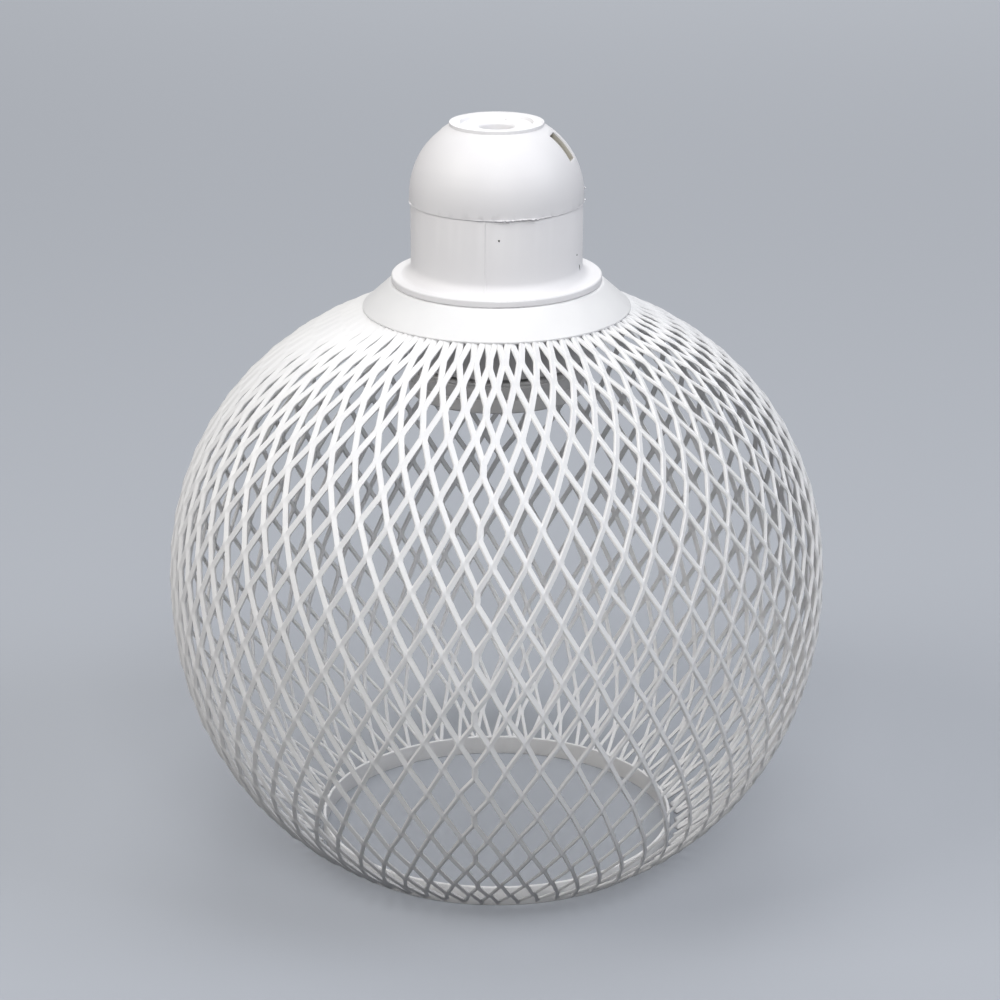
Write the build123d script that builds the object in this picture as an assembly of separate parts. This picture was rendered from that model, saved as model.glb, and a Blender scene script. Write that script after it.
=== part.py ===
"""Mesh globe lampshade with its screw-shell lampholder, standing on its lower ring.

The globe is one wall of expanded metal: slit sheet, rolled, welded and drawn out to a ball. A flat
steel ring stiffens its mouth, and a coned collar closes its crown. The lampholder's flange lies on
the collar, and a ring screwed onto its skirt from below clamps the collar against that flange.

Millimetres, +Z up, origin at the middle of the mouth on the plane that the lampshade stands on.
"""

import os
from math import asin, atan2, cos, degrees, hypot, pi, radians, sin, sqrt, tan

from build123d import *

os.makedirs("parts", exist_ok=True)

# Globe of expanded metal
globe_r = 90.8
belly_z = 78.0
upper_axis = 83.1
roundness = 2.12
mesh_wall = 1.2
columns = 24
mesh_rows = 6
strand = 4.2
spline_spans = 8

# Mouth ring
ring_r = 50.0
ring_wall = 0.9
ring_height = 5.5
weld_band = 1.0

# Collar
collar_seat = 0.3
collar_cone = 7.7
collar_slope = 42.0
collar_wall = 1.0
collar_bend = 1.5
tuck = 4.0

# Lampholder body
barrel_r = 23.2
barrel_wall = 2.2
barrel_height = 19.35
flange_reach = 5.3
flange_wall = 2.05
flange_round = 0.5
flange_fillet = 3.0
spigot_height = 4.0
spigot_wall = 1.0
skirt_step = 2.7
skirt_wall = 2.5
skirt_length = 30.0

# Lampholder cap
cap_step = 0.3
cap_wall = 2.0
cap_skirt = 2.5
cap_draft = 0.05
dome_offset = 1.95
rim_r = 12.65
rim_rise = 0.9
rim_width = 2.8
dish_wall = 0.8
dish_draft = 0.4
dish_depth = 1.2
hub_r = 10.0
entry_r = 4.5
entry_length = 10.0
entry_chamfer = 0.5
slot_width = 5.4
slot_low = 29.0
slot_high = 52.5
slot_turn = -13.0
latch_wall = 1.5
latch_tooth = 0.7
latch_root = 0.5
latch_lead = 1.6
latch_sink = 1.0
leg_width = 9.0
leg_wall = 1.8

# Rings on the skirt
nut_wall = 3.5
shade_ring_length = 20.2
end_ring_length = 8.4
end_ring_lip = 0.5
end_ring_cover = 2.0
ring_chamfer = 0.4
groove_drops = (0.9, 4.4)
groove_width = 0.5
groove_depth = 0.35

# Contacts
block_drop = 7.0
block_flange_wall = 4.0
rib_wall = 1.6
rib_reach = 8.0
rib_height = 6.0
shell_r = 13.3
shell_wall = 0.5
shell_length = 20.0
shell_top_hole_r = 8.8
shell_neck_r = 12.6
shell_taper = 4.5
shell_bead = 0.5
tongue_width = 5.0
tongue_wall = 0.6
tongue_reach = 3.9
tongue_nose = 1.2
tongue_tip = 0.8
line_rivet_x = 6.2
rivet_r = 1.1
rivet_head_r = 1.7
rivet_head = 0.7
terminal_inset = 1.0
terminal_wide = 6.0
terminal_tall = 6.5
terminal_foot = 0.8
wire_hole_r = 1.5
wire_hole_z = 2.8
screw_r = 1.4
screw_head_r = 2.5
screw_head = 1.6
screw_slot = 0.6

# Clearances
thread_gap = 0.15
fit_gap = 0.2
latch_gap = 0.3
hole_gap = 0.05

# Radii that follow from the sizes above
band_r = ring_r + mesh_wall
lower_axis = (belly_z - weld_band) / (1 - (band_r / globe_r) ** roundness) ** (1 / roundness)
barrel_in = barrel_r - barrel_wall
spigot_r = barrel_in + spigot_wall
flange_r = barrel_r + flange_reach
skirt_r = barrel_r - skirt_step
skirt_bore_r = skirt_r - skirt_wall
cap_r = barrel_r + cap_step
dome_arc = cap_r - cap_draft - dome_offset
nut_r = skirt_r + nut_wall
collar_bend_r = flange_r + collar_seat
collar_r = collar_bend_r + collar_cone
block_r = skirt_bore_r - fit_gap
block_flange_r = barrel_in - latch_gap
shell_rivet_x = (shell_top_hole_r + shell_neck_r) / 2
terminal_far = sqrt((block_flange_r - terminal_inset) ** 2 - (terminal_wide / 2) ** 2)
terminal_near = shell_rivet_x + rivet_head_r + latch_gap
terminal_x = (terminal_far + terminal_near) / 2

base = (Align.CENTER, Align.CENTER, Align.MIN)


def globe_radius(z):
    """Outer radius of the globe at a height: half of a superellipse on each side of its belly."""
    axis = lower_axis if z < belly_z else upper_axis
    return globe_r * (1 - (abs(z - belly_z) / axis) ** roundness) ** (1 / roundness)


def globe_height(radius, axis):
    """Distance above or below the belly at which the globe has this outer radius."""
    return axis * (1 - (radius / globe_r) ** roundness) ** (1 / roundness)


def turned(*points):
    """A solid of revolution about Z from the corners (radius, height) of its section."""
    return revolve(make_face(Plane.XZ * Polyline(*points, close=True)), Axis.Z)


def tube(outer, inner, low, high):
    """A plain ring between two radii and two heights."""
    return turned((inner, low), (outer, low), (outer, high), (inner, high))


# Heights that follow from them
slope = radians(collar_slope)
collar_edge_r = collar_r - collar_wall * sin(slope)
collar_edge_z = belly_z + globe_height(collar_edge_r, upper_axis)
collar_rise = (collar_r - collar_bend_r) * tan(slope)
seat_z = collar_edge_z + collar_wall * cos(slope) + collar_rise
flange_top = seat_z + flange_wall
seam_z = flange_top + barrel_height
skirt_end = seat_z - skirt_length
dome_z = seam_z + cap_skirt


def mesh_section():
    """Outer line of the mesh as (radius, height): weld band, globe, edge tucked under the collar."""
    start = -asin((belly_z - weld_band) / lower_axis)
    end = asin((collar_edge_z - belly_z) / upper_axis)
    line = []
    for step in range(spline_spans + 1):
        angle = start + (end - start) * step / spline_spans
        axis = lower_axis if angle < 0 else upper_axis
        height = belly_z + axis * sin(angle)
        line.append((globe_radius(height), height))
    top = (collar_edge_r - tuck * cos(slope), collar_edge_z + tuck * sin(slope))
    return (band_r, 0.0), line, top


def inward(line, distance):
    """The same smooth line moved towards the axis and the belly, square to itself."""
    moved = []
    for index, (radius, height) in enumerate(line):
        before = line[max(index - 1, 0)]
        after = line[min(index + 1, len(line) - 1)]
        run, rise = after[0] - before[0], after[1] - before[1]
        length = hypot(run, rise)
        moved.append((radius - distance * rise / length, height + distance * run / length))
    return moved


def mesh_sector(pitch):
    """One column's sector of the globe's wall before it is opened, centred on the XZ plane."""
    foot, line, top = mesh_section()
    inside = inward(line, mesh_wall)
    top_in = (top[0] - mesh_wall * sin(slope), top[1] - mesh_wall * cos(slope))
    outer = Plane.XZ * Spline(*line)
    inner = Plane.XZ * Spline(*inside)
    foot_line = Plane.XZ * Polyline(inside[0], (ring_r, weld_band), (ring_r, 0), foot, line[0])
    top_line = Plane.XZ * Polyline(line[-1], top, top_in, inside[-1])
    return Rot(0, 0, -pitch / 2) * revolve(make_face([outer, inner, foot_line, top_line]), Axis.Z, pitch)


def along_mesh():
    """A function from the distance along the mesh, foot to tucked edge, to (radius, height)."""
    foot, line, top = mesh_section()
    chain = [foot]
    for first, second in zip(line, line[1:]):
        for part in range(8):
            height = first[1] + (second[1] - first[1]) * part / 8
            chain.append((globe_radius(height), height))
    chain += [line[-1], top]
    reach = [0.0]
    for first, second in zip(chain, chain[1:]):
        reach.append(reach[-1] + hypot(second[0] - first[0], second[1] - first[1]))

    def point(distance):
        index = 1
        while index < len(chain) - 1 and reach[index] < distance:
            index += 1
        share = (distance - reach[index - 1]) / (reach[index] - reach[index - 1])
        first, second = chain[index - 1], chain[index]
        return tuple(a + (b - a) * share for a, b in zip(first, second))

    return point, reach[-1]


def gap_cutter(corners):
    """A pyramid stump that opens one gap: its edges run from the globe's centre through the corners."""
    centre = Vector(0, 0, belly_z)
    rays = [(Vector(*corner) - centre) for corner in corners]
    normal = sum(rays[1:], rays[0]).normalized()
    reach = max(ray.length for ray in rays)
    ends = []
    for plane_at in (0.6 * reach, 1.3 * reach):
        points = [centre + ray * (plane_at / ray.dot(normal)) for ray in rays]
        ends.append(Face(Wire.make_polygon(points)))
    return loft(ends, ruled=True)


def mesh_gaps():
    """Cutters of one column and its half-pitch neighbour: diamonds, and half diamonds at both ends."""
    point, length = along_mesh()
    row = length / mesh_rows
    pitch = 2 * pi / columns

    def lean(low, high):
        across = (point(low)[0] + point(high)[0]) / 2 * pitch / 2
        return across / hypot(across, high - low), (high - low) / hypot(across, high - low)

    def on_mesh(angle, distance):
        radius, height = point(distance)
        return (radius * cos(angle), radius * sin(angle), height)

    cutters = []
    for index in range(mesh_rows + 1):
        middle = index * row
        turn = pitch / 2 * (index % 2)
        half = pitch / 2 - strand / 2 / lean(middle - row / 2, middle + row / 2)[1] / point(middle)[0]
        left, right = (on_mesh(turn + side * half, middle) for side in (-1, 1))
        top_sine = lean(middle, min(middle + row, length))[0] if index < mesh_rows else 0
        foot_sine = lean(max(middle - row, 0), middle)[0] if index > 0 else 0
        if index == 0:
            past = [on_mesh(turn + side * half, -strand) for side in (1, -1)]
            corners = [left, on_mesh(turn, middle + row - strand / 2 / top_sine), right, *past]
        elif index == mesh_rows:
            past = [on_mesh(turn + side * half, length + strand) for side in (-1, 1)]
            corners = [left, *past, right, on_mesh(turn, middle - row + strand / 2 / foot_sine)]
        else:
            top = on_mesh(turn, middle + row - strand / 2 / top_sine)
            foot = on_mesh(turn, middle - row + strand / 2 / foot_sine)
            corners = [left, top, right, foot]
        cutters.append(gap_cutter(corners))
    return cutters


def mesh_globe():
    """One sector of the wall is opened; its skin is turned round the axis and sewn into one solid."""
    pitch = 360 / columns
    gaps = [Rot(0, 0, turn) * gap for turn in (0, -pitch) for gap in mesh_gaps()]
    sector = mesh_sector(pitch) - gaps

    def is_cut(face):
        middle = face.center()
        bearing = abs(degrees(atan2(middle.Y, middle.X)))
        return face.geom_type == GeomType.PLANE and abs(bearing - pitch / 2) < 1e-3

    skin = [face for face in sector.faces() if not is_cut(face)]
    return Solid(Shell([Rot(0, 0, pitch * turn) * face for turn in range(columns) for face in skin]))


def mouth_ring():
    """Flat strip, rolled and welded, standing just inside the mesh."""
    return tube(ring_r, ring_r - ring_wall, 0, ring_height)


def collar():
    """Pressed sheet: flat seat with the holder's hole, then a cone down over the mesh."""
    mitre = collar_wall * tan(slope / 2)
    low_z = seat_z - collar_rise
    plate = turned(
        (skirt_r + fit_gap, seat_z),
        (collar_bend_r, seat_z),
        (collar_r, low_z),
        (collar_edge_r, low_z - collar_wall * cos(slope)),
        (collar_bend_r - mitre, seat_z - collar_wall),
        (skirt_r + fit_gap, seat_z - collar_wall),
    )
    plate = fillet(circles(plate, collar_bend_r), collar_bend + collar_wall)
    return fillet(circles(plate, collar_bend_r - mitre), collar_bend)


def circles(shape, radius, height=None):
    """The shape's round edges of one radius about the axis, at one height where it is given."""
    found = shape.edges().filter_by(GeomType.CIRCLE)
    found = found.filter_by(lambda edge: abs(edge.radius - radius) < 0.01)
    if height is not None:
        found = found.filter_by(lambda edge: abs(edge.arc_center.Z - height) < 0.01)
    return found


def dome_radius(height, inset=0.0):
    """Radius of the cap's dome at a height, or of a surface inside it by an inset."""
    return dome_offset + sqrt((dome_arc - inset) ** 2 - (height - dome_z) ** 2)


def dome_height(radius, inset=0.0):
    """Height of the cap's dome at a radius, or of a surface inside it by an inset."""
    return dome_z + sqrt((dome_arc - inset) ** 2 - (radius - dome_offset) ** 2)


def dome_slice(low, high, inner_inset, outer_inset, width):
    """A strip of a shell under the dome, between two slopes of its arc, of constant width."""
    rim, root = dome_arc - outer_inset, dome_arc - inner_inset
    corners = [
        (dome_offset + reach * cos(radians(angle)), dome_z + reach * sin(radians(angle)))
        for reach, angle in ((root, low), (rim, low), (rim, high), (root, high))
    ]
    middle = radians((low + high) / 2)
    bulge = [(dome_offset + reach * cos(middle), dome_z + reach * sin(middle)) for reach in (rim, root)]
    outline = [
        Line(corners[0], corners[1]),
        ThreePointArc(corners[1], bulge[0], corners[2]),
        Line(corners[2], corners[3]),
        ThreePointArc(corners[3], bulge[1], corners[0]),
    ]
    return extrude(make_face([Plane.XZ * edge for edge in outline]), width / 2, both=True)


def both_sides(shape):
    """A feature of the lampholder and its twin across the axis, turned to the slots' bearing."""
    return [Rot(0, 0, slot_turn + half_turn) * shape for half_turn in (0, 180)]


def holder_body():
    """Moulded barrel, flange and skirt, with the spigot and the two latch arms that the cap snaps on."""
    body = turned(
        (skirt_bore_r, skirt_end),
        (skirt_r, skirt_end),
        (skirt_r, seat_z),
        (flange_r, seat_z),
        (flange_r, flange_top),
        (barrel_r, flange_top),
        (barrel_r, seam_z),
        (spigot_r, seam_z),
        (spigot_r, seam_z + spigot_height),
        (barrel_in, seam_z + spigot_height),
        (barrel_in, flange_top),
        (skirt_bore_r, flange_top),
    )
    body = fillet(circles(body, barrel_r, flange_top), flange_fillet)
    body = fillet(circles(body, flange_r), flange_round)
    inset = cap_wall + latch_gap
    width = slot_width - 2 * latch_gap
    arm_foot = degrees(asin((spigot_height - cap_skirt - latch_sink) / dome_arc))
    tooth_low = slot_low + degrees(latch_lead / dome_arc)
    tooth_high = slot_high - degrees(latch_gap / dome_arc)
    arm = dome_slice(arm_foot, tooth_high, inset + latch_wall, inset, width)
    tooth = dome_slice(tooth_low, tooth_high, inset + latch_root, inset - latch_tooth, width)
    return body + both_sides(arm + tooth)


def cap_section():
    """Half section of the cap: outer skirt and dome, raised rim and dish, hub with its bore, inner wall."""
    rim_z = dome_height(rim_r) + rim_rise
    dish_z = rim_z - dish_depth
    low = dish_z - entry_length
    roof = dome_height(hub_r, cap_wall)
    mouth_r = spigot_r + fit_gap
    joint_z = seam_z + spigot_height + fit_gap
    inner_r = dome_radius(joint_z, cap_wall)
    arc_middle = radians(40)
    outer_mid = (dome_offset + dome_arc * cos(arc_middle), dome_z + dome_arc * sin(arc_middle))
    inner_reach = dome_arc - cap_wall
    inner_mid = (dome_offset + inner_reach * cos(arc_middle), dome_z + inner_reach * sin(arc_middle))
    outline = [
        Polyline((mouth_r, seam_z), (cap_r, seam_z), (dome_offset + dome_arc, dome_z)),
        ThreePointArc((dome_offset + dome_arc, dome_z), outer_mid, (rim_r, dome_height(rim_r))),
        Polyline(
            (rim_r, dome_height(rim_r)),
            (rim_r, rim_z),
            (rim_r - rim_width, rim_z),
            (rim_r - rim_width - dish_draft, rim_z - dish_wall),
            (entry_r + entry_chamfer, dish_z),
            (entry_r, dish_z - entry_chamfer),
            (entry_r, low),
            (hub_r, low),
            (hub_r, roof),
        ),
        ThreePointArc((hub_r, roof), inner_mid, (inner_r, joint_z)),
        Polyline((inner_r, joint_z), (mouth_r, joint_z), (mouth_r, seam_z)),
    ]
    return make_face([Plane.XZ * line for line in outline])


def holder_cap():
    """Moulded dome with a threaded cable entry, two latch slots and two legs that hold the block down."""
    cap = revolve(cap_section(), Axis.Z)
    slot = dome_slice(slot_low, slot_high, 1.5 * cap_wall, -cap_wall, slot_width)
    foot_z = flange_top + block_flange_wall
    leg_out = sqrt(block_flange_r**2 - (leg_width / 2) ** 2)
    leg_in = leg_out - leg_wall
    corners = [(leg_in, foot_z), (leg_out, foot_z)]
    corners += [(radius, dome_height(radius, cap_wall / 2)) for radius in (leg_out, leg_in)]
    leg = extrude(make_face(Plane.XZ * Polyline(*corners, close=True)), leg_width / 2, both=True)
    return cap - both_sides(slot) + [Rot(0, 0, 90) * side for side in both_sides(leg)]


def shade_ring():
    """Tall threaded ring that screws up the skirt and presses the collar against the flange."""
    top = seat_z - collar_wall
    ring = tube(nut_r, skirt_r + thread_gap, top - shade_ring_length, top)
    return chamfer(circles(ring, nut_r), ring_chamfer)


def end_ring():
    """Short threaded ring whose lip closes the end of the skirt, with two shallow turned grooves."""
    low = skirt_end - end_ring_lip
    high = low + end_ring_length
    ring = turned(
        (skirt_r - end_ring_cover, low),
        (nut_r, low),
        (nut_r, high),
        (skirt_r + thread_gap, high),
        (skirt_r + thread_gap, skirt_end),
        (skirt_r - end_ring_cover, skirt_end),
    )
    ring = chamfer(circles(ring, nut_r), ring_chamfer)
    for drop in groove_drops:
        middle = high - drop
        floor_r = nut_r - groove_depth
        ring -= tube(nut_r + groove_depth, floor_r, middle - groove_width / 2, middle + groove_width / 2)
    return ring


def contact_block():
    """Insulating block: its flange lies on the barrel's floor and its plug reaches down into the skirt."""
    under = flange_top - block_drop
    top = flange_top + block_flange_wall
    block = turned(
        (0, under),
        (block_r, under),
        (block_r, flange_top),
        (block_flange_r, flange_top),
        (block_flange_r, top),
        (0, top),
    )
    holes = [
        Pos(place, 0, under) * Cylinder(rivet_r + hole_gap, top - under, align=base)
        for place in (-line_rivet_x, shell_rivet_x)
    ]
    ribs = Pos(0, 0, top) * Box(rib_wall, 2 * rib_reach, rib_height, align=base)
    return Rot(0, 0, slot_turn) * (block - holes + ribs)


def screw_shell():
    """Rolled brass shell for the lamp cap: open below, coned above to the flange riveted to the block."""
    top = flange_top - block_drop
    low = top - shell_length
    outer = shell_r + shell_wall
    shell = turned(
        (shell_top_hole_r, top - shell_wall),
        (shell_neck_r, top - shell_wall),
        (shell_r, top - shell_wall - shell_taper),
        (shell_r, low + shell_bead),
        (shell_r + shell_bead, low),
        (outer + shell_bead, low),
        (outer, low + shell_bead),
        (outer, top - shell_wall - shell_taper),
        (shell_neck_r + shell_wall, top),
        (shell_top_hole_r, top),
    )
    hole = Pos(shell_rivet_x, 0, top) * Cylinder(rivet_r + hole_gap, 4 * shell_wall)
    return Rot(0, 0, slot_turn) * (shell - hole)


def centre_contact():
    """Sprung brass tongue: riveted flat at one end, bent down to the middle, its tip turned up."""
    top = flange_top - block_drop
    line = [
        (-line_rivet_x - rivet_head_r, 0),
        (-line_rivet_x + rivet_head_r, 0),
        (-tongue_nose, -tongue_reach),
        (tongue_nose, -tongue_reach),
        (3 * tongue_nose, -tongue_reach + tongue_tip),
    ]
    upper = [(x, top + z) for x, z in line]
    lower = [(x, top + z - tongue_wall) for x, z in reversed(line)]
    side = make_face(Plane.XZ * Polyline(*upper, *lower, close=True))
    tongue = extrude(side, tongue_width / 2, both=True)
    hole = Pos(-line_rivet_x, 0, top) * Cylinder(rivet_r + hole_gap, 4 * tongue_wall)
    return Rot(0, 0, slot_turn) * (tongue - hole)


def terminal(side, rivet_x):
    """Brass terminal on the block: a foot under the rivet and a cube with a wire hole and a screw hole."""
    floor = flange_top + block_flange_wall
    inner_x = rivet_x - rivet_head_r - hole_gap
    foot_size = (terminal_near - inner_x, terminal_wide, terminal_foot)
    foot = Pos(inner_x, 0, floor) * Box(*foot_size, align=(Align.MIN, Align.CENTER, Align.MIN))
    cube_size = (terminal_far - terminal_near, terminal_wide, terminal_tall)
    cube = Pos(terminal_x, 0, floor) * Box(*cube_size, align=base)
    cube = chamfer(cube.edges().filter_by(Axis.Z), ring_chamfer)
    wire_place = Pos(terminal_x, 0, floor + wire_hole_z)
    wire_hole = wire_place * Rot(90, 0, 0) * Cylinder(wire_hole_r, 2 * terminal_wide)
    screw_hole = wire_place * Cylinder(screw_r + hole_gap, terminal_tall, align=base)
    rivet_hole = Pos(rivet_x, 0, floor) * Cylinder(rivet_r + hole_gap, 4 * terminal_foot)
    shape = foot + cube - wire_hole - screw_hole - rivet_hole
    return Rot(0, 0, slot_turn + side) * shape


def terminal_screws():
    """The two slotted clamping screws, driven down into the wire holes."""
    top = flange_top + block_flange_wall + terminal_tall
    tip = flange_top + block_flange_wall + wire_hole_z
    shank = Pos(0, 0, tip) * Cylinder(screw_r, top - tip + screw_head / 2, align=base)
    head = Pos(0, 0, top) * Cylinder(screw_head_r, screw_head, align=base)
    slot = Pos(0, 0, top + screw_head / 2) * Box(3 * screw_head_r, screw_slot, screw_head, align=base)
    screw = Pos(terminal_x, 0, 0) * (shank + head - slot)
    return Compound(both_sides(screw))


def rivet(low, high):
    """A rivet through the block, headed below the contact and above the terminal's foot."""
    shank = Pos(0, 0, low - rivet_head / 2) * Cylinder(rivet_r, high - low + rivet_head, align=base)
    heads = [Pos(0, 0, low - rivet_head) * Cylinder(rivet_head_r, rivet_head, align=base)]
    heads += [Pos(0, 0, high) * Cylinder(rivet_head_r, rivet_head, align=base)]
    return shank + heads


def contact_rivets():
    """One rivet holds the centre tongue and the line terminal, the other the shell and the neutral one."""
    under = flange_top - block_drop
    foot = flange_top + block_flange_wall + terminal_foot
    line = Pos(-line_rivet_x, 0, 0) * rivet(under - tongue_wall, foot)
    neutral = Pos(shell_rivet_x, 0, 0) * rivet(under - shell_wall, foot)
    return Rot(0, 0, slot_turn) * Compound([line, neutral])


nodes = {
    "mesh_globe": mesh_globe(),
    "mouth_ring": mouth_ring(),
    "collar": collar(),
    "holder_body": holder_body(),
    "holder_cap": holder_cap(),
    "shade_ring": shade_ring(),
    "end_ring": end_ring(),
    "contact_block": contact_block(),
    "screw_shell": screw_shell(),
    "centre_contact": centre_contact(),
    "line_terminal": terminal(180, line_rivet_x),
    "neutral_terminal": terminal(0, shell_rivet_x),
    "terminal_screws": terminal_screws(),
    "contact_rivets": contact_rivets(),
}
for name, shape in nodes.items():
    export_step(shape, f"parts/{name}.step")
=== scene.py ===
"""White globe lampshade of expanded metal with a moulded screw-shell lampholder on its crown.

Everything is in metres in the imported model's frame: +Z up, origin at the middle of the mouth on the
floor. Sizes below are written in millimetres and turned to metres where a mesh is made. A bearing is 0
at the front, grows to the right and is in degrees where it is a named value.
"""
from math import asin, cos, pi, radians, sin, sqrt, tan

import bmesh
import bpy
import numpy as np
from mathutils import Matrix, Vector


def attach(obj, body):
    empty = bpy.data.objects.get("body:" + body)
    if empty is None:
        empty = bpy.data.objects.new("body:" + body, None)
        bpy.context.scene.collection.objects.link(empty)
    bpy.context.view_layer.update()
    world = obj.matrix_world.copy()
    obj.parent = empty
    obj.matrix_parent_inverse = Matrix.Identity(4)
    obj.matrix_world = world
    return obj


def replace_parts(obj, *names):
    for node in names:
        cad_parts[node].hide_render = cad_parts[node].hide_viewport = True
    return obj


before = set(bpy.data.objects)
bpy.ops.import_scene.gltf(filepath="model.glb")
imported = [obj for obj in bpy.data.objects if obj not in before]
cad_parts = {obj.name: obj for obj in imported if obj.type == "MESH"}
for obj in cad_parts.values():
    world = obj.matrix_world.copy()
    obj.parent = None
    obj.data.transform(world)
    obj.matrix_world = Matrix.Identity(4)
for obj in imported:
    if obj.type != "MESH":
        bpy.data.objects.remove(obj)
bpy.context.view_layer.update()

MM = 0.001
rng = np.random.default_rng(62)

# Globe: a superellipse below and above its belly, from the mouth ring to under the collar
globe_r = 90.8
belly_z = 78.0
roundness = 2.12
upper_axis = 83.1
weld_band = 1.0
mesh_wall = 1.2
tuck = 4.0

# Strip ring round the mouth, with its ends welded at the back
ring_r = 50.0
ring_wall = 0.9
ring_height = 5.5
ring_round = 0.3
butt_bearing = 176.0
bead_width = 0.9
bead_swell = 0.5
bead_rise = 0.12
notch_width = 0.25
notch_depth = 0.35
band_r = ring_r + mesh_wall
lower_axis = (belly_z - weld_band) / (1 - (band_r / globe_r) ** roundness) ** (1 / roundness)

# Collar: a flat seat, a drawn bend and a cone that lies on the globe
collar_r = 36.5
collar_slope = radians(42.0)
collar_wall = 1.0
collar_bend_r = 28.8
hole_r = 20.7
hole_round = 0.2
bend_inside = 0.58
bend_outside = 0.96
foot_inside = 0.25
foot_outside = 0.35
collar_edge_r = collar_r - collar_wall * sin(collar_slope)
collar_edge_z = belly_z + upper_axis * (1 - (collar_edge_r / globe_r) ** roundness) ** (1 / roundness)
collar_low_z = collar_edge_z + collar_wall * cos(collar_slope)
seat_z = collar_low_z + (collar_r - collar_bend_r) * tan(collar_slope)

# Lampholder: flange, barrel, the cap's dome and the dish in its crown
barrel_r = 23.2
barrel_height = 19.35
flange_wall = 2.05
flange_fillet = 3.0
cap_step = 0.3
cap_skirt = 2.5
dome_offset = 1.95
dome_arc = 21.5
crown_r = 13.2
dish_z = 205.3
dish_r = 9.45
dish_rise = 0.4
entry_edge_r = 5.0
flange_top = seat_z + flange_wall
seam_z = flange_top + barrel_height
dome_z = seam_z + cap_skirt

# The seam between cap and body shows a little higher in the photograph than in the solids
seam_lift = 0.85
seam_tolerance = 0.02
parting_z = seam_z + seam_lift

# Lamp shell inside the holder
shell_drop = 7.0
shell_length = 20.0
shell_r = 13.3
shell_wall = 0.5
shell_lip_r = 13.85
shell_lip = 0.6
shell_neck_r = 12.6
shell_taper = 4.5
shell_hole_r = 8.8
thread_pitch = 3.62
thread_depth = 0.42
shell_top = flange_top - shell_drop

# Mesh: columns and rows of bonds, and the strands between them
columns = 62
belly_row = 95.3
end_room = 2
strand_width = 1.54
strand_thick = 0.92
strand_tilt = radians(-25.0)
strand_length = 9.13
mouth_longer = 0.2
mouth_reach = 18
bond_half = 0.42
bond_dwell = 0.75
row_drift = 0.16
side_drift = 0.14
sag_depth = 0.25
sag_columns = 7
sag_evening = 2.6

# The weld that closes the sheet is column 0: longer, tighter bonds with the next columns drawn closer
neck_half = 0.14
neck_dwell = 1.9
weld_bearing = -4.55
weld_twist = 0.0115
weld_loss = 0.095
weld_reach = 0.37
weld_far_side = columns / 2 - 0.25


# Meshes from arrays
def new_object(name, vertices, faces, material, smooth=True):
    """A mesh object at the origin from an array of points in millimetres and an array of faces."""
    mesh = bpy.data.meshes.new(name)
    mesh.from_pydata((np.asarray(vertices, float) * MM).tolist(), [], [list(face) for face in faces])
    mesh.validate()
    mesh.polygons.foreach_set("use_smooth", np.full(len(mesh.polygons), smooth))
    mesh.update()
    piece = bpy.data.objects.new(name, mesh)
    bpy.context.scene.collection.objects.link(piece)
    mesh.materials.append(material)
    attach(piece, "root")
    return piece


def grid_faces(rows, cols, wrap_rows=False, wrap_cols=False):
    """Quads between neighbouring points of a grid that is stored row by row, closed where it wraps."""
    i = np.arange(rows if wrap_rows else rows - 1)
    j = np.arange(cols if wrap_cols else cols - 1)
    i, j = [a.ravel() for a in np.meshgrid(i, j, indexing="ij")]
    up, right = (i + 1) % rows, (j + 1) % cols
    return np.stack([i * cols + j, i * cols + right, up * cols + right, up * cols + j], axis=1)


def turned(section, steps, change=None):
    """A closed section (radius, height), anticlockwise, carried round the axis: x = r sin b, y = -r cos b.

    Where it is given, change(bearing, radius, height) moves the section's points as they go round.
    """
    section = np.asarray(section, float)
    bearing = np.linspace(0, 2 * pi, steps, endpoint=False)[:, None]
    shape = (steps, len(section))
    radius, height = np.broadcast_to(section[:, 0], shape), np.broadcast_to(section[:, 1], shape)
    if change:
        radius, height = change(bearing, radius, height)
    points = np.stack([radius * np.sin(bearing), -radius * np.cos(bearing), height], axis=2)
    faces = grid_faces(steps, len(section), wrap_rows=True, wrap_cols=True)
    return points.reshape(-1, 3), faces[:, ::-1]


def hump(bearing, middle, width, radius):
    """A smooth hump of height 1 round the axis, exp(-(arc / width)^2), at a bearing given in degrees."""
    arc = (bearing - radians(middle) + pi) % (2 * pi) - pi
    return np.exp(-((arc * radius / width) ** 2))


def rounded(corners, arc_steps=5):
    """A closed section from corners (radius, height, rounding): each corner becomes a short smooth curve.

    A corner is cut back by its rounding along both of its sides, and the curve between the two cuts is
    (1-t)^2 cut + 2t(1-t) corner + t^2 cut.
    """
    corner = np.asarray(corners, float)
    place, size = corner[:, :2], corner[:, 2:]
    before, after = np.roll(place, 1, axis=0) - place, np.roll(place, -1, axis=0) - place
    start = place + size * before / np.linalg.norm(before, axis=1, keepdims=True)
    end = place + size * after / np.linalg.norm(after, axis=1, keepdims=True)
    t = np.linspace(0, 1, arc_steps)[None, :, None]
    curve = (1 - t) ** 2 * start[:, None] + 2 * t * (1 - t) * place[:, None] + t**2 * end[:, None]
    return curve.reshape(-1, 2)


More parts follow.
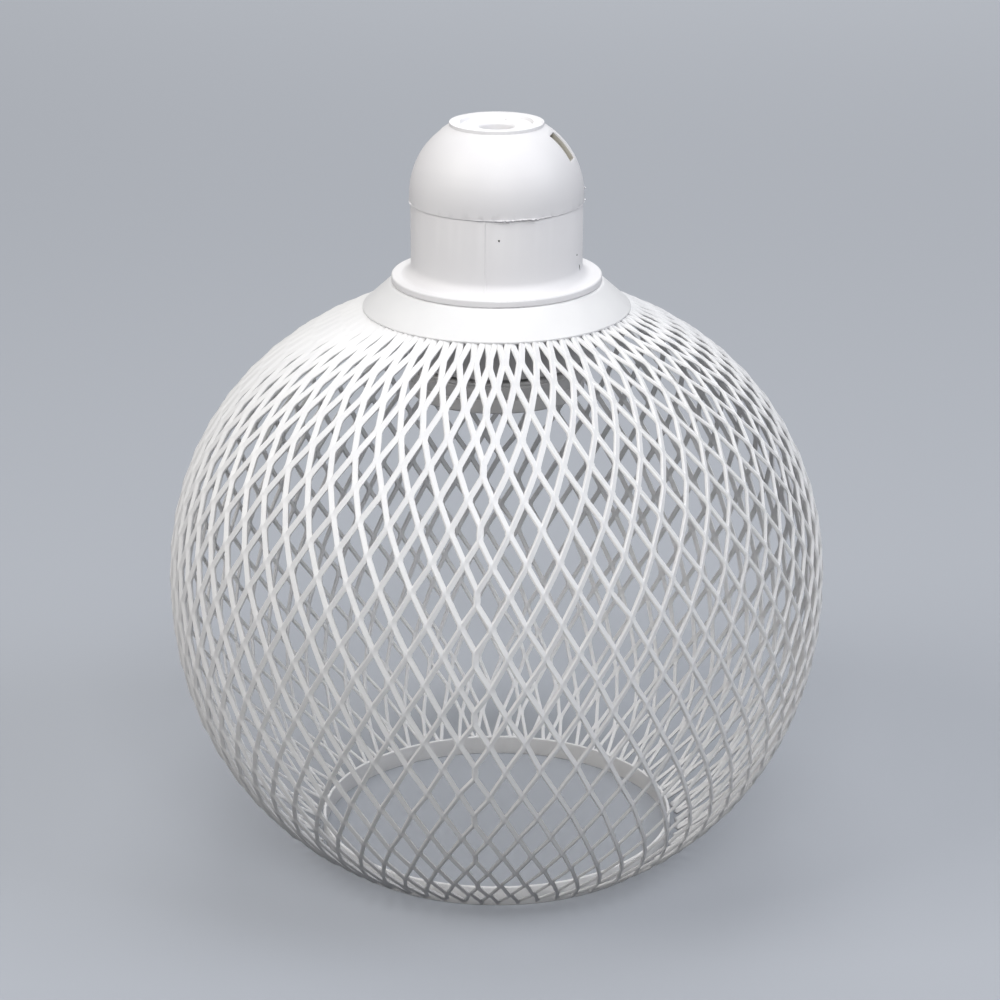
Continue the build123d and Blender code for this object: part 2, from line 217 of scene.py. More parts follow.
def softened(node_name, name, rounding_mm, material):
    """A merged copy of a solid's mesh whose sharp edges are rounded as its mould rounds them.

    The points on the level of the seam between cap and body go up by seam_lift.
    """
    same_place_m = 1e-6
    flat_angle = radians(1.0)
    sharp_angle = radians(32)
    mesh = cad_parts[node_name].data.copy()
    shape = bmesh.new()
    shape.from_mesh(mesh)
    bmesh.ops.remove_doubles(shape, verts=shape.verts, dist=same_place_m)
    bmesh.ops.dissolve_limit(shape, angle_limit=flat_angle, verts=shape.verts, edges=shape.edges)
    for vertex in shape.verts:
        if abs(vertex.co.z / MM - seam_z) < seam_tolerance:
            vertex.co.z += seam_lift * MM
    shape.to_mesh(mesh)
    shape.free()
    mesh.polygons.foreach_set("use_smooth", np.ones(len(mesh.polygons), bool))
    mesh.materials.clear()
    mesh.materials.append(material)
    piece = bpy.data.objects.new(name, mesh)
    bpy.context.scene.collection.objects.link(piece)
    bevel = piece.modifiers.new("rounding", "BEVEL")
    bevel.width = rounding_mm * MM
    bevel.segments = 2
    bevel.limit_method = "ANGLE"
    bevel.angle_limit = sharp_angle
    bevel.harden_normals = True
    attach(piece, "root")
    return piece


# The globe's middle surface
def globe_line():
    """The mesh's middle line as (distance, radius, height): band, superellipse, edge under the collar.

    The outer line is radius = globe_r (1 - (|height - belly| / axis)^roundness)^(1 / roundness), and the
    middle line lies half a wall inside it.
    """
    steps = 400
    past_collar = 1.4
    tuck_steps = 9
    lowest = asin((belly_z - weld_band) / lower_axis)
    below = -lower_axis * np.sin(np.linspace(lowest, 0, steps))
    above = upper_axis * np.sin(np.linspace(0, past_collar, steps))[1:]
    height = belly_z + np.concatenate([below, above])
    axis = np.where(height < belly_z, lower_axis, upper_axis)
    radius = globe_r * (1 - (np.abs(height - belly_z) / axis) ** roundness) ** (1 / roundness)
    keep = (radius > collar_edge_r) | (height < belly_z)
    radius, height = radius[keep], height[keep]
    reach = np.linspace(0, tuck, tuck_steps)[1:]
    radius = np.concatenate([[band_r], radius, radius[-1] - reach * cos(collar_slope)])
    height = np.concatenate([[0], height, height[-1] + reach * sin(collar_slope)])
    run, rise = np.gradient(radius), np.gradient(height)
    length = np.hypot(run, rise)
    middle_r = radius - mesh_wall / 2 * rise / length
    middle_z = height + mesh_wall / 2 * run / length
    distance = np.concatenate([[0], np.cumsum(np.hypot(np.diff(radius), np.diff(height)))])
    return distance, middle_r, middle_z


line_s, line_r, line_z = globe_line()


def on_globe(distance, bearing):
    """Points of the middle surface, with the directions across it and outward from it."""
    radius, height = np.interp(distance, line_s, line_r), np.interp(distance, line_s, line_z)
    step = 0.5
    run = np.interp(distance + step, line_s, line_r) - np.interp(distance - step, line_s, line_r)
    rise = np.interp(distance + step, line_s, line_z) - np.interp(distance - step, line_s, line_z)
    size = np.hypot(run, rise)
    run, rise = run / size, rise / size
    out = np.stack([np.sin(bearing), -np.cos(bearing), np.zeros_like(bearing)], axis=-1)
    across = np.stack([np.cos(bearing), np.sin(bearing), np.zeros_like(bearing)], axis=-1)
    axis = np.array([0.0, 0.0, 1.0])
    point = radius[..., None] * out + height[..., None] * axis
    normal = rise[..., None] * out - run[..., None] * axis
    return point, across, normal


# Expanded metal
def bond_rows():
    """Distances of the rows of bonds: each strand keeps its length, so rows open where the globe narrows.

    A strand is the long side of a right triangle whose short sides are half a pitch and the step between
    two rows. Beside the mouth the strands are up to a fifth longer.
    """
    half_pitch = pi / columns
    rows = [belly_row]
    while rows[-1] < line_s[-1] - end_room:
        radius = np.interp(rows[-1] + strand_length / 2, line_s, line_r)
        rows.append(rows[-1] + sqrt(strand_length**2 - (radius * half_pitch) ** 2))
    while rows[0] > end_room:
        near_mouth = np.exp(-(((rows[0] - strand_length / 2) / mouth_reach) ** 2))
        length = strand_length * (1 + mouth_longer * near_mouth)
        radius = np.interp(rows[0] - length / 2, line_s, line_r)
        rows.insert(0, rows[0] - sqrt(length**2 - (radius * half_pitch) ** 2))
    return np.array(rows), rows.index(belly_row)


def bearing_of(position, distance):
    """Bearing of a bond from its column: even pitches, closer beside the weld, all twisted a little."""
    pitch = 2 * pi / (columns - 2 * weld_loss)
    position = (position + columns / 2) % columns - columns / 2
    squeezed = position - weld_loss * np.tanh(position / weld_reach) * (np.abs(position) < weld_far_side)
    return radians(weld_bearing) + radians(weld_twist) * distance + pitch * squeezed


def bond_grid():
    """Where each ribbon passes each row: the rows, and its distance, bearing, offset and dwell there.

    A ribbon is at its left and its right column by turns, and lies beside the bond's middle so that two
    ribbons make one bond. Each bond drifts a little from its even place, and neighbouring columns sag
    together. The dwell is the length that the two ribbons run side by side, counted from the middle.
    """
    rows, belly_index = bond_rows()
    ribbons = np.arange(2 * columns)[:, None]
    levels = np.arange(len(rows))[None, :]
    at_right = (ribbons + levels + belly_index + 1) % 2
    bond = (ribbons + at_right) % (2 * columns)
    drift = rng.normal(0, 1, (2, len(rows), 2 * columns))
    draws = rng.normal(0, 1, 2 * columns + sag_columns - 1)
    sag = np.convolve(draws, np.ones(sag_columns) / sag_evening, "valid")
    distance = rows[None, :] + row_drift * drift[0][levels, bond] + sag_depth * sag[bond]
    bearing = bearing_of((ribbons + at_right) / 2, distance)
    bearing = bearing + side_drift * drift[1][levels, bond] / np.interp(distance, line_s, line_r)
    at_weld = bond == 0
    offset = (1 - 2 * at_right) * np.where(at_weld, neck_half, bond_half)
    dwell = np.where(at_weld, neck_dwell, bond_dwell)
    return rows, distance, bearing, offset, dwell


def ribbon_paths():
    """The ribbons' middle lines, their wide and thick directions, the distance up and what is kept.

    A ribbon has a point at each bond's middle and at both ends of its dwell. Between rows the share of
    the swing goes from 0 to 1, level along the dwells and straight between them. The wide way is the
    direction across, leaned by the tilt that the slitting blade leaves. Points below the band that is
    welded to the ring aren't kept.
    """
    rows, bond_s, bond_angle, beside, dwell = bond_grid()
    step = np.arange(3 * (len(rows) - 1) + 1)
    low = np.minimum(step // 3, len(rows) - 2)
    gap = np.diff(rows)[low]
    start = dwell[:, low] / gap
    end = 1 - dwell[:, low + 1] / gap
    share = np.where(step % 3 == 1, start, np.where(step % 3 == 2, end, step == step[-1]))
    swing = np.clip((share - start) / (end - start), 0, 1)

    def between(values, part):
        return values[:, low] * (1 - part) + values[:, low + 1] * part

    turn = bond_angle[:, low + 1] - bond_angle[:, low]
    turn = (turn + pi) % (2 * pi) - pi
    bearing = bond_angle[:, low] + turn * swing
    distance = between(bond_s, share)
    kept = distance > weld_band
    distance = np.maximum(distance, weld_band)

    point, across, normal = on_globe(distance, bearing)
    wide = cos(strand_tilt) * across + sin(strand_tilt) * normal
    centre = point + between(beside, swing)[..., None] * wide
    forward = np.gradient(centre, axis=1)
    forward /= np.linalg.norm(forward, axis=2, keepdims=True)
    wide -= np.sum(wide * forward, axis=2, keepdims=True) * forward
    wide /= np.linalg.norm(wide, axis=2, keepdims=True)
    return centre, wide, np.cross(forward, wide), distance, kept


def expanded_mesh(material):
    """Every strand is one ribbon that swings up the globe between its left and its right column.

    Its section is a rectangle with its four corners taken off, eight points in all: centre + half width
    times a share of the wide way + half thickness times a share of the thick way. Towards the mouth,
    where the sheet is drawn in least, the strands are up to a third finer, and beside the collar, where
    they crowd, up to a tenth wider. The long edges are sharp and the bends between them smooth.
    """
    corner_wide, corner_thick = 0.82, 0.55
    finest, fine_until, fine_fade = 0.68, 25, 70
    crowding, crowd_from, crowd_fade = 0.1, 125, 60
    thick_kept = 0.3
    centre, wide, thick, distance, kept = ribbon_paths()
    quarter = [(1, corner_thick), (corner_wide, 1)]
    corner = np.array(quarter + [(-x, y) for x, y in quarter[::-1]])
    corner = np.concatenate([corner, -corner])
    drawn = finest + (1 - finest) * np.clip((distance - fine_until) / fine_fade, 0, 1)
    crowded = 1 + crowding * np.clip((distance - crowd_from) / crowd_fade, 0, 1)
    half_wide = (strand_width / 2 * drawn * crowded)[..., None] * corner[:, 0]
    half_thick = (strand_thick / 2 * (thick_kept + (1 - thick_kept) * drawn))[..., None] * corner[:, 1]
    points = centre[:, :, None, :] + half_wide[..., None] * wide[:, :, None, :]
    points = points + half_thick[..., None] * thick[:, :, None, :]

    first = int(np.argmax(kept.all(axis=0))) - 1
    points = points[:, first:]
    count, steps, sides = points.shape[:3]
    tube = grid_faces(steps, sides, wrap_cols=True)
    low_end = np.array([[0, i, i - 1, i - 2] for i in range(sides - 1, 1, -2)])
    high_end = (steps - 1) * sides + low_end[:, ::-1]
    faces = np.concatenate([tube, low_end, high_end])
    faces = (faces[None] + (np.arange(count) * steps * sides)[:, None, None]).reshape(-1, 4)
    piece = new_object("expanded_mesh", points.reshape(-1, 3), faces, material)
    edges = piece.data.edges
    ends = np.empty(2 * len(edges), np.int32)
    edges.foreach_get("vertices", ends)
    place_round = ends.reshape(-1, 2) % sides
    edges.foreach_set("use_edge_sharp", place_round[:, 0] == place_round[:, 1])
    return piece


# Sheet-metal parts
def strip_ring(material):
    """Flat strip with rolled edges, bent to a ring; its ends are butted and welded at the back.

    The weld is a hump that thickens the strip about its middle by half and rises a little above its edge.
    """
    middle = ring_r - ring_wall / 2
    inner = ring_r - ring_wall
    corners = [(inner, 0), (ring_r, 0), (ring_r, ring_height), (inner, ring_height)]
    section = rounded([(radius, height, ring_round) for radius, height in corners])

    def weld(bearing, radius, height):
        bead = hump(bearing, butt_bearing, bead_width, ring_r)
        notch = hump(bearing, butt_bearing, notch_width, ring_r)
        radius = middle + (radius - middle) * (1 + bead_swell * bead - notch_depth * notch)
        return radius, height + bead_rise * bead * (height > ring_height / 2)

    points, faces = turned(section, steps=720, change=weld)
    return new_object("strip_ring", points, faces, material)


def pressed_collar(material):
    """Sheet pressed to a flat seat and a cone: the solid's section with its drawn bend and dull edges."""
    mitre = collar_wall * tan(collar_slope / 2)
    under = seat_z - collar_wall
    section = rounded(
        [
            (hole_r, under, hole_round),
            (collar_bend_r - mitre, under, bend_inside),
            (collar_edge_r, collar_low_z - collar_wall * cos(collar_slope), foot_inside),
            (collar_r, collar_low_z, foot_outside),
            (collar_bend_r, seat_z, bend_outside),
            (hole_r, seat_z, hole_round),
        ]
    )
    points, faces = turned(section, steps=288)
    return new_object("pressed_collar", points, faces, material)


# What the moulds left
def seam_flash(material):
    """Flash at the parting of cap and body: a ragged fin, radius = barrel + a few noisy humps.

    It ends flush with the cap's edge all round, and reaches further where a hump says that it is torn.
    """
    half, tip = 0.06, 0.02
    even_reach, torn_reach = 0.08, 0.75
    waviness, even_wave = 0.25, 0.3
    tears = [(14.0, 6.5, 1.0), (29.0, 3.0, 0.8), (-79.0, 1.5, 0.7)]
    section = [(barrel_r - cap_step, 0.0), (barrel_r, -half), (barrel_r + tip, 0.0), (barrel_r, half)]
    steps = 720
    fine, long = 5, 24
    fine_draws, long_draws = steps + 8, steps + 30
    rough = np.convolve(rng.normal(0, 1, fine_draws), np.ones(fine) / fine, "valid")
    rough = np.abs(rough)[:steps, None]
    lift = np.convolve(rng.normal(0, 1, long_draws), np.ones(long) / long, "valid")[:steps, None]

    def ragged(bearing, radius, height):
        torn = sum(share * hump(bearing, middle, width, barrel_r) for middle, width, share in tears)
        reach = cap_step + even_reach * rough + torn_reach * rough * torn
        out = (radius - barrel_r + cap_step) / (cap_step + tip)
        return radius + reach * out, parting_z + height + (waviness * lift * (even_wave + torn)) * out

    points, faces = turned(section, steps, ragged)
    return new_object("seam_flash", points, faces, material, smooth=False)


def mould_line(material):
    """Fine ridge where the mould's halves met: a low triangular section up the barrel at one bearing.

    Its foot follows the flange's fillet: radius = barrel + fillet - sqrt(fillet^2 - climb^2).
    """
    ridge_bearing = -7.55
    half, sunk, tall = 0.11, 0.05, 0.11
    above_flange = 0.25
    steps = 40
    height = np.linspace(flange_top + above_flange, parting_z - sunk, steps)
    climb = np.clip((flange_top + flange_fillet - height) / flange_fillet, 0, 1)
    radius = barrel_r + flange_fillet - flange_fillet * np.sqrt(1 - climb**2)
    ridge = np.array([[-half, -sunk], [half, -sunk], [0.0, tall]])
    out = radius[:, None] + ridge[None, :, 1]
    bearing = radians(ridge_bearing) + ridge[None, :, 0] / out
    up = np.broadcast_to(height[:, None], out.shape)
    points = np.stack([out * np.sin(bearing), -out * np.cos(bearing), up], axis=2)
    last = 3 * steps - 1
    ends = [[0, 1, 2], [last, last - 1, last - 2]]
    faces = grid_faces(steps, 3, wrap_cols=True)[:, ::-1].tolist() + ends
    return new_object("mould_line", points.reshape(-1, 3), faces, material, smooth=False)


# Dust, burrs and rub marks
def flecks(name, places, sizes, material):
    """Small flat mounds: radius 1 + a few waves round the edge, thickness (1 - radius^2) of the middle's.

    A place is (x, y, z, bearing, rise) of the surface it lies on, where rise is 0 on an upright wall and
    90 on a level one; a size is (half width, half height, thickness, lean in degrees).
    """
    wave_depth, ripple_depth = 0.16, 0.1
    innermost, sunk = 0.02, 0.04
    places, sizes = np.asarray(places, float), np.asarray(sizes, float)
    count, rings, spokes = len(places), 4, 14
    bearing, rise = np.radians(places[:, 3]), np.radians(places[:, 4])
    level = np.stack([np.cos(bearing), np.sin(bearing), np.zeros(count)], axis=1)
    out = np.stack([np.sin(bearing), -np.cos(bearing), np.zeros(count)], axis=1)
    up = np.array([[0.0, 0.0, 1.0]])
    normal = np.cos(rise)[:, None] * out + np.sin(rise)[:, None] * up
    upward = np.cross(normal, level)
    around = np.linspace(0, 2 * pi, spokes, endpoint=False)
    wave = rng.normal(0, 1, (count, 4, 1))
    edge = 1 + wave_depth * (wave[:, 0] * np.cos(2 * around) + wave[:, 1] * np.sin(3 * around))
    edge += ripple_depth * (wave[:, 2] * np.sin(4 * around) + wave[:, 3] * np.cos(5 * around))
    share = np.linspace(innermost, 1, rings)[None, :, None]
    u = share * edge[:, None, :] * np.cos(around) * sizes[:, 0, None, None]
    v = share * edge[:, None, :] * np.sin(around) * sizes[:, 1, None, None]
    lean = np.radians(sizes[:, 3])[:, None, None]
    u, v = u * np.cos(lean) - v * np.sin(lean), u * np.sin(lean) + v * np.cos(lean)
    w = np.broadcast_to(sizes[:, 2, None, None] * (1 - share**2) - sunk, u.shape)
    points = places[:, None, None, :3] + u[..., None] * level[:, None, None]
    points = points + v[..., None] * upward[:, None, None] + w[..., None] * normal[:, None, None]
    shell = grid_faces(rings, spokes, wrap_cols=True)[:, ::-1]
    lid = [list(range(spokes)), list(range((rings - 1) * spokes, rings * spokes))[::-1]]
    faces = []
    for start in range(0, count * rings * spokes, rings * spokes):
        faces += (shell + start).tolist() + [[start + i for i in face] for face in lid]
    return new_object(name, points.reshape(-1, 3), faces, material)


def on_wall(bearing, height, radius):
    """A place on an upright wall of one radius: x = r sin b, y = -r cos b."""
    return (radius * sin(radians(bearing)), -radius * cos(radians(bearing)), height, bearing, 0)


def in_dish(x, y):
    """A place in the cap's dish, whose floor climbs evenly from the entry's edge to the foot of its wall."""
    climb = (np.hypot(x, y) - entry_edge_r) / (dish_r - entry_edge_r)
    return (x, y, dish_z + dish_rise * climb, 0, 90)


# Lamp shell
def rolled_shell(material):
    """Thin brass sleeve rolled with the lamp's thread: radius - depth (1 - cos(bearing - 2 pi z / pitch)).

    The wave fades out over the flared lip below and over the cone that leads to the flange above.
    """
    lip_clear, lip_fade, cone_fade = 0.8, 1.2, 1.5
    low = shell_top - shell_length
    high = shell_top - shell_wall
    cone_low = high - shell_taper
    rings = 72
    height = low + np.linspace(0, 1, rings) * (shell_length - shell_wall)
    levels = [low, low + shell_lip, cone_low, high]
    radius = np.interp(height, levels, [shell_lip_r, shell_r, shell_r, shell_neck_r])
    fade = np.clip((height - low - lip_clear) / lip_fade, 0, 1)
    fade = fade * np.clip((cone_low - height) / cone_fade, 0, 1)
    inner = np.stack([radius, height], axis=1)
    outer = np.stack([radius + shell_wall, height], axis=1)
    floor = [(shell_neck_r + shell_wall, shell_top), (shell_hole_r, shell_top), (shell_hole_r, high)]
    section = np.concatenate([outer, floor, inner[::-1]])
    wave = np.concatenate([fade, np.zeros(len(floor)), fade[::-1]])

    def thread(bearing, radius, height):
        turn = bearing - 2 * pi * height / thread_pitch
        return radius - thread_depth * wave[None, :] * (1 - np.cos(turn)), height

    points, faces = turned(section, steps=120, change=thread)
    return new_object("rolled_shell", points, faces, material)


# Materials. The colour mix node's sockets go by number, because its names repeat
MIX_SHARE, MIX_FIRST, MIX_SECOND, MIX_RESULT = 0, 6, 7, 2


def linear(hex_colour):
    """A hex sRGB colour as linear RGBA."""
    part = np.array([int(hex_colour[i : i + 2], 16) for i in (1, 3, 5)]) / 255
    part = np.where(part <= 0.04045, part / 12.92, ((part + 0.055) / 1.055) ** 2.4)
    return (*part.tolist(), 1.0)


def add_node(tree, kind, inputs=None, **settings):
    """Adds a node with its settings; an input is a value or another node's output socket."""
    node = tree.nodes.new(kind)
    for name, value in settings.items():
        setattr(node, name, value)
    for name, value in (inputs or {}).items():
        if isinstance(value, bpy.types.NodeSocket):
            tree.links.new(value, node.inputs[name])
        else:
            node.inputs[name].default_value = value
    return node


def new_material(name):
    """An empty node material and its tree."""
    material = bpy.data.materials.new(name)
    material.use_nodes = True
    tree = material.node_tree
    tree.nodes.clear()
    return material, tree


def surface(name, light, dark, patch_mm, roughness, grain_mm, grain_depth_mm, **shader):
    """Two close colours in soft patches of one size, and a fine bump of another, on Object coordinates."""
    gloss_spread = 0.05
    material, tree = new_material(name)
    place = add_node(tree, "ShaderNodeTexCoord").outputs["Object"]
    patch_scale, grain_scale = 1 / (patch_mm * MM), 1 / (grain_mm * MM)
    patch = add_node(tree, "ShaderNodeTexNoise", {"Vector": place, "Scale": patch_scale, "Detail": 3.0})
    colour = add_node(
        tree,
        "ShaderNodeMix",
        {MIX_SHARE: patch.outputs[0], MIX_FIRST: linear(dark), MIX_SECOND: linear(light)},
        data_type="RGBA",
    )
    gloss = add_node(
        tree,
        "ShaderNodeMapRange",
        {
            "Value": patch.outputs[0],
            "To Min": roughness - gloss_spread,
            "To Max": roughness + gloss_spread,
        },
    )
    grain = add_node(tree, "ShaderNodeTexNoise", {"Vector": place, "Scale": grain_scale, "Detail": 2.0})
    bump = add_node(
        tree,
        "ShaderNodeBump",
        {"Height": grain.outputs[0], "Distance": grain_depth_mm * MM, "Strength": 1.0},
    )
    principled = add_node(
        tree,
        "ShaderNodeBsdfPrincipled",
        {
            "Base Color": colour.outputs[MIX_RESULT],
            "Roughness": gloss.outputs[0],
            "Normal": bump.outputs[0],
            **shader,
        },
    )
    add_node(tree, "ShaderNodeOutputMaterial", {"Surface": principled.outputs[0]})
    return material


# Each has two colours, its patches' size, its roughness, its grain's size and depth, and what the shader adds

# Powder coat on steel: sprayed polyester baked to a satin skin with a slight orange peel
powder_coat = surface("powder_coat_steel", "#ECECEC", "#E4E4E5", 9.0, 0.42, 0.9, 0.012, IOR=1.5)
# Moulded thermoplastic (PBT): smooth from a polished tool, a soft even gloss
moulded_pbt = surface("moulded_pbt", "#ECEBEC", "#E7E6E8", 14.0, 0.48, 0.5, 0.004, IOR=1.5)
# Ring plastic: the same resin from a duller tool
turned_pbt = surface("tooled_pbt", "#E2E1E0", "#DAD9D8", 10.0, 0.42, 0.4, 0.006, IOR=1.54)
# Steatite: pressed and fired unglazed, so it is matt with a fine grain
steatite = surface("unglazed_steatite", "#E6E0D2", "#D9D2C2", 5.0, 0.72, 0.25, 0.01, IOR=1.58)
# Brass strip: pressed, bright, faintly streaked by the rolls
brass = surface("pressed_brass", "#D8BE7C", "#C2A35F", 4.0, 0.28, 0.3, 0.004, Metallic=1.0)
# Workshop dust: carbon-grey grains caught on the moulding, quite matt
dust = surface("grey_dust", "#4C4A48", "#2E2C2A", 0.4, 0.85, 0.1, 0.01, IOR=1.45)
# Grey rub marks in the dish, where the entry's nut has been
rubbed = surface("rubbed_pbt", "#8F8C88", "#77746F", 0.6, 0.6, 0.2, 0.006, IOR=1.54)
# Zinc plate: electroplated on steel screws, bright and slightly cool
zinc = surface("zinc_plated_steel", "#C9CACC", "#B4B6BA", 1.5, 0.3, 0.2, 0.004, Metallic=1.0)


def painted_slot_shade(material):
    """Painted shade: the slot walls that the tool's cores left are greyed to stand in for their shade.

    A point is behind the skin where its distance from the dome's arc centre falls short of the arc; the
    dish in the crown, which lies nearer to the axis, is left out.
    """
    shade_from, shade_full = 0.25, 0.5
    tree = material.node_tree
    principled = next(node for node in tree.nodes if node.type == "BSDF_PRINCIPLED")
    plain = principled.inputs["Base Color"].links[0].from_socket
    place = add_node(tree, "ShaderNodeTexCoord").outputs["Object"]
    part = add_node(tree, "ShaderNodeSeparateXYZ", {0: place})
    level = add_node(tree, "ShaderNodeCombineXYZ", {0: part.outputs[0], 1: part.outputs[1]})
    radius = add_node(tree, "ShaderNodeVectorMath", {0: level.outputs[0]}, operation="LENGTH").outputs[1]
    run = add_node(tree, "ShaderNodeMath", {0: radius, 1: dome_offset * MM}, operation="SUBTRACT")
    rise = add_node(tree, "ShaderNodeMath", {0: part.outputs[2], 1: dome_z * MM}, operation="SUBTRACT")
    from_centre = add_node(tree, "ShaderNodeCombineXYZ", {0: run.outputs[0], 1: rise.outputs[0]})
    reach = add_node(tree, "ShaderNodeVectorMath", {0: from_centre.outputs[0]}, operation="LENGTH").outputs[1]
    behind = add_node(
        tree,
        "ShaderNodeMapRange",
        {
            "Value": reach,
            "From Min": (dome_arc - shade_full) * MM,
            "From Max": (dome_arc - shade_from) * MM,
            "To Min": 1.0,
            "To Max": 0.0,
        },
    )
    outside_dish = add_node(tree, "ShaderNodeMath", {0: radius, 1: crown_r * MM}, operation="GREATER_THAN")
    painted_shade_share = add_node(
        tree,
        "ShaderNodeMath",
        {0: behind.outputs[0], 1: outside_dish.outputs[0]},
        operation="MULTIPLY",
    )
    # Painted shade: the base colour is mixed towards a warm grey inside the slots
    colour = add_node(
        tree,
        "ShaderNodeMix",
        {MIX_SHARE: painted_shade_share.outputs[0], MIX_FIRST: plain, MIX_SECOND: linear("#BAB6AC")},
        data_type="RGBA",
    )
    tree.links.new(colour.outputs[MIX_RESULT], principled.inputs["Base Color"])


# Painted shade on the walls of the cap's latch slots, in the moulded plastic
painted_slot_shade(moulded_pbt)

# The solids' own meshes, of which those that a finer piece replaces below are hidden
finishes = {
    "mesh_globe": powder_coat,
    "mouth_ring": powder_coat,
    "collar": powder_coat,
    "holder_body": moulded_pbt,
    "holder_cap": moulded_pbt,
    "shade_ring": turned_pbt,
    "end_ring": turned_pbt,
    "contact_block": steatite,
    "screw_shell": brass,
    "centre_contact": brass,
    "line_terminal": brass,
    "neutral_terminal": brass,
    "terminal_screws": zinc,
    "contact_rivets": brass,
}
for name, material in finishes.items():
    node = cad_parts[name]
    node.data.materials.clear()
    node.data.materials.append(material)

# Finer pieces. Their order is the order of the random draws
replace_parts(expanded_mesh(powder_coat), "mesh_globe")
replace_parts(strip_ring(powder_coat), "mouth_ring")
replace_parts(pressed_collar(powder_coat), "collar")
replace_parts(rolled_shell(brass), "screw_shell")
seam_flash(moulded_pbt)
mould_line(moulded_pbt)
flecks(
    "barrel_dust",
    [on_wall(1.48, 179.9, barrel_r), on_wall(67.3, 172.4, barrel_r), on_wall(72.9, 168.2, barrel_r)],
    [(0.26, 0.4, 0.12, 20), (0.28, 0.28, 0.14, 0), (0.2, 1.4, 0.14, 14)],
    dust,
)
flecks(
    "dome_burrs",
    [on_wall(86.0, 189.0, barrel_r + 0.2), on_wall(87.0, 185.7, barrel_r + 0.25)],
    [(0.3, 0.25, 0.55, 0), (0.4, 0.22, 0.5, 10)],
    moulded_pbt,
)
flecks(
    "dish_marks",
    [in_dish(2.5, 7.4), in_dish(-8.1, 4.1), in_dish(-1.3, 7.4)],
    [(0.4, 0.6, 0.12, 30), (0.3, 1.0, 0.1, -35), (0.5, 0.3, 0.1, 5)],
    rubbed,
)
moulded = {
    "holder_body": ("moulded_body", 0.25, "holder_plastic", moulded_pbt),
    "holder_cap": ("moulded_cap", 0.3, "holder_plastic", moulded_pbt),
    "shade_ring": ("moulded_shade_ring", 0.2, "ring_plastic", turned_pbt),
    "end_ring": ("moulded_end_ring", 0.12, "ring_plastic", turned_pbt),
}
for node_name, (name, rounding_mm, slot, material) in moulded.items():
    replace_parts(softened(node_name, name, rounding_mm, material), node_name)


# Floor, light and camera
def studio_floor():
    """A level square that the camera and reflections see pale, and brighter with distance.

    All other rays meet a darker grey, so that the floor throws little light up into the mesh.
    """
    half_m = 4
    near_m, far_m = 0.6, 3.2
    near_glow, far_glow = 0.08, 0.42
    mesh = bpy.data.meshes.new("floor")
    corners = [(-half_m, -half_m, 0), (half_m, -half_m, 0), (half_m, half_m, 0), (-half_m, half_m, 0)]
    mesh.from_pydata(corners, [], [(0, 1, 2, 3)])
    floor = bpy.data.objects.new("floor", mesh)
    bpy.context.scene.collection.objects.link(floor)
    material, tree = new_material("matt_floor")
    ray = add_node(tree, "ShaderNodeLightPath").outputs
    seen = add_node(
        tree, "ShaderNodeMath", {0: ray["Is Camera Ray"], 1: ray["Is Glossy Ray"]}, operation="MAXIMUM"
    )
    colour = add_node(
        tree,
        "ShaderNodeMix",
        {MIX_SHARE: seen.outputs[0], MIX_FIRST: linear("#4C4D50"), MIX_SECOND: linear("#9B9FA6")},
        data_type="RGBA",
    )
    place = add_node(tree, "ShaderNodeTexCoord").outputs["Object"]
    away = add_node(tree, "ShaderNodeVectorMath", {0: place}, operation="LENGTH").outputs[1]
    level = add_node(
        tree,
        "ShaderNodeMapRange",
        {"Value": away, "From Min": near_m, "From Max": far_m, "To Min": near_glow, "To Max": far_glow},
        interpolation_type="SMOOTHSTEP",
    )
    glow = add_node(tree, "ShaderNodeMath", {0: seen.outputs[0], 1: level.outputs[0]}, operation="MULTIPLY")
    shader = add_node(
        tree,
        "ShaderNodeBsdfPrincipled",
        {
            "Base Color": colour.outputs[MIX_RESULT],
            "Emission Color": linear("#F2F6FC"),
            "Emission Strength": glow.outputs[0],
            "Roughness": 0.9,
            "IOR": 1.3,
        },
    )
    add_node(tree, "ShaderNodeOutputMaterial", {"Surface": shader.outputs[0]})
    mesh.materials.append(material)


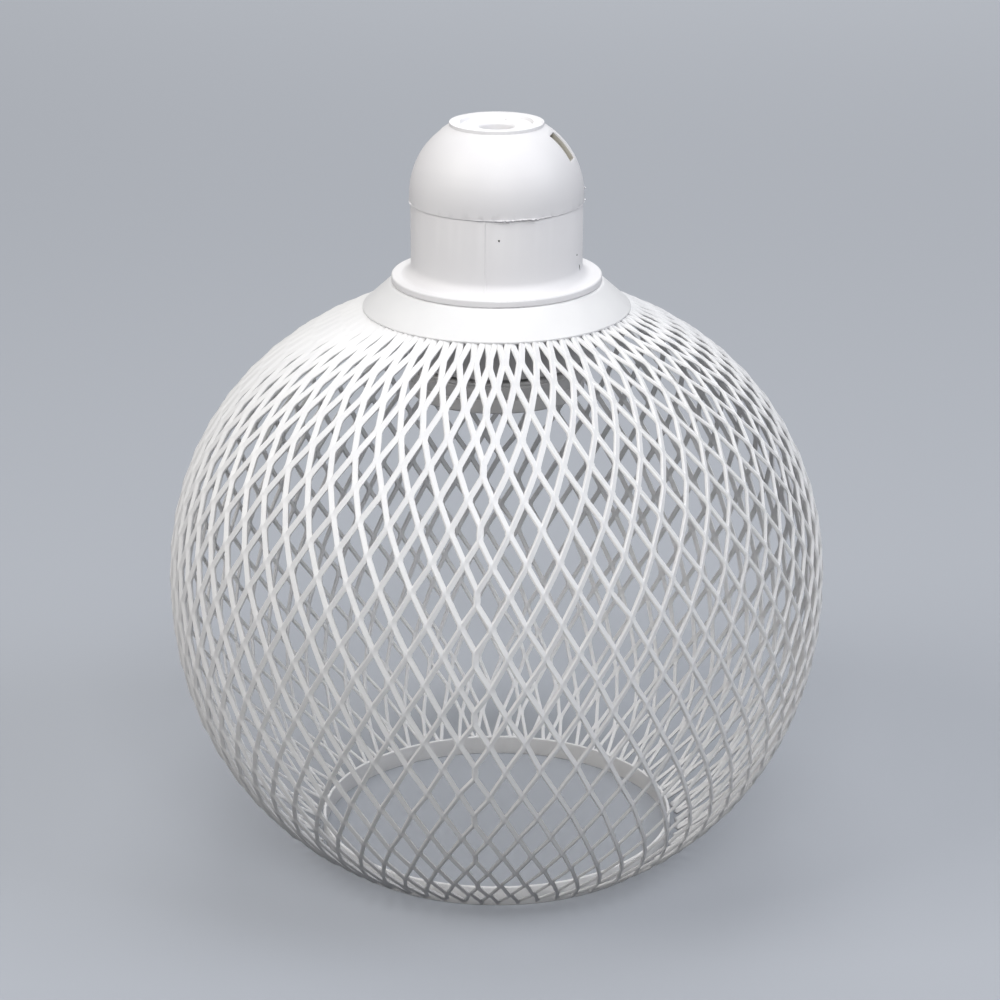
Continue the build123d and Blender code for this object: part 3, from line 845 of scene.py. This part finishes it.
def studio_world():
    """A pale grey surround that the camera sees brighter than the object does."""
    light_strength, seen_strength = 0.25, 0.72
    world = bpy.data.worlds.new("studio")
    bpy.context.scene.world = world
    world.use_nodes = True
    tree = world.node_tree
    tree.nodes.clear()
    seen = add_node(tree, "ShaderNodeLightPath").outputs["Is Camera Ray"]
    level = add_node(
        tree, "ShaderNodeMapRange", {"Value": seen, "To Min": light_strength, "To Max": seen_strength}
    )
    ambient = add_node(
        tree, "ShaderNodeBackground", {"Color": linear("#D6D8DC"), "Strength": level.outputs[0]}
    )
    add_node(tree, "ShaderNodeOutputWorld", {"Surface": ambient.outputs[0]})


def softbox(name, place, aim, size, power, colour="#FFFFFF"):
    """A square area lamp at a place in metres, turned to its aim."""
    lamp = bpy.data.lights.new(name, "AREA")
    lamp.size = size
    lamp.energy = power
    lamp.color = linear(colour)[:3]
    box = bpy.data.objects.new(name, lamp)
    box.location = place
    box.rotation_euler = (Vector(aim) - Vector(place)).to_track_quat("-Z", "Y").to_euler()
    bpy.context.scene.collection.objects.link(box)


def photo_camera():
    """The camera fitted to the photograph: it looks at a point on the globe's axis from the front."""
    image_pixels = 1000
    focal_pixels = 2883.1
    sensor_mm = 36
    elevation = radians(19.73)
    away_mm = 801.3
    target_z = 99.8
    data = bpy.data.cameras.new("camera")
    data.lens = sensor_mm * focal_pixels / image_pixels
    data.sensor_width = sensor_mm
    data.sensor_fit = "HORIZONTAL"
    data.shift_x = 0.0033
    camera = bpy.data.objects.new("camera", data)
    camera.location = (0, -away_mm * cos(elevation) * MM, (target_z + away_mm * sin(elevation)) * MM)
    camera.rotation_euler = (pi / 2 - elevation, 0, 0)
    bpy.context.scene.collection.objects.link(camera)
    bpy.context.scene.camera = camera


studio_floor()
studio_world()
softbox("top", (0.0, 0.15, 1.9), (0, 0, 0.12), 0.9, 8.5)
softbox("back", (0.2, 1.7, 1.1), (0, 0, 0.1), 1.1, 9.0)
softbox("left", (-1.4, -0.7, 1.4), (0, 0, 0.1), 1.0, 18.0, "#FFFBF6")
softbox("right", (1.5, -0.5, 1.35), (0, 0, 0.1), 1.0, 16.0, "#F4F7FF")
softbox("front", (0.1, -1.6, 1.5), (0, 0, 0.1), 1.0, 18.5)
photo_camera()

bpy.context.scene.view_settings.view_transform = "Standard"
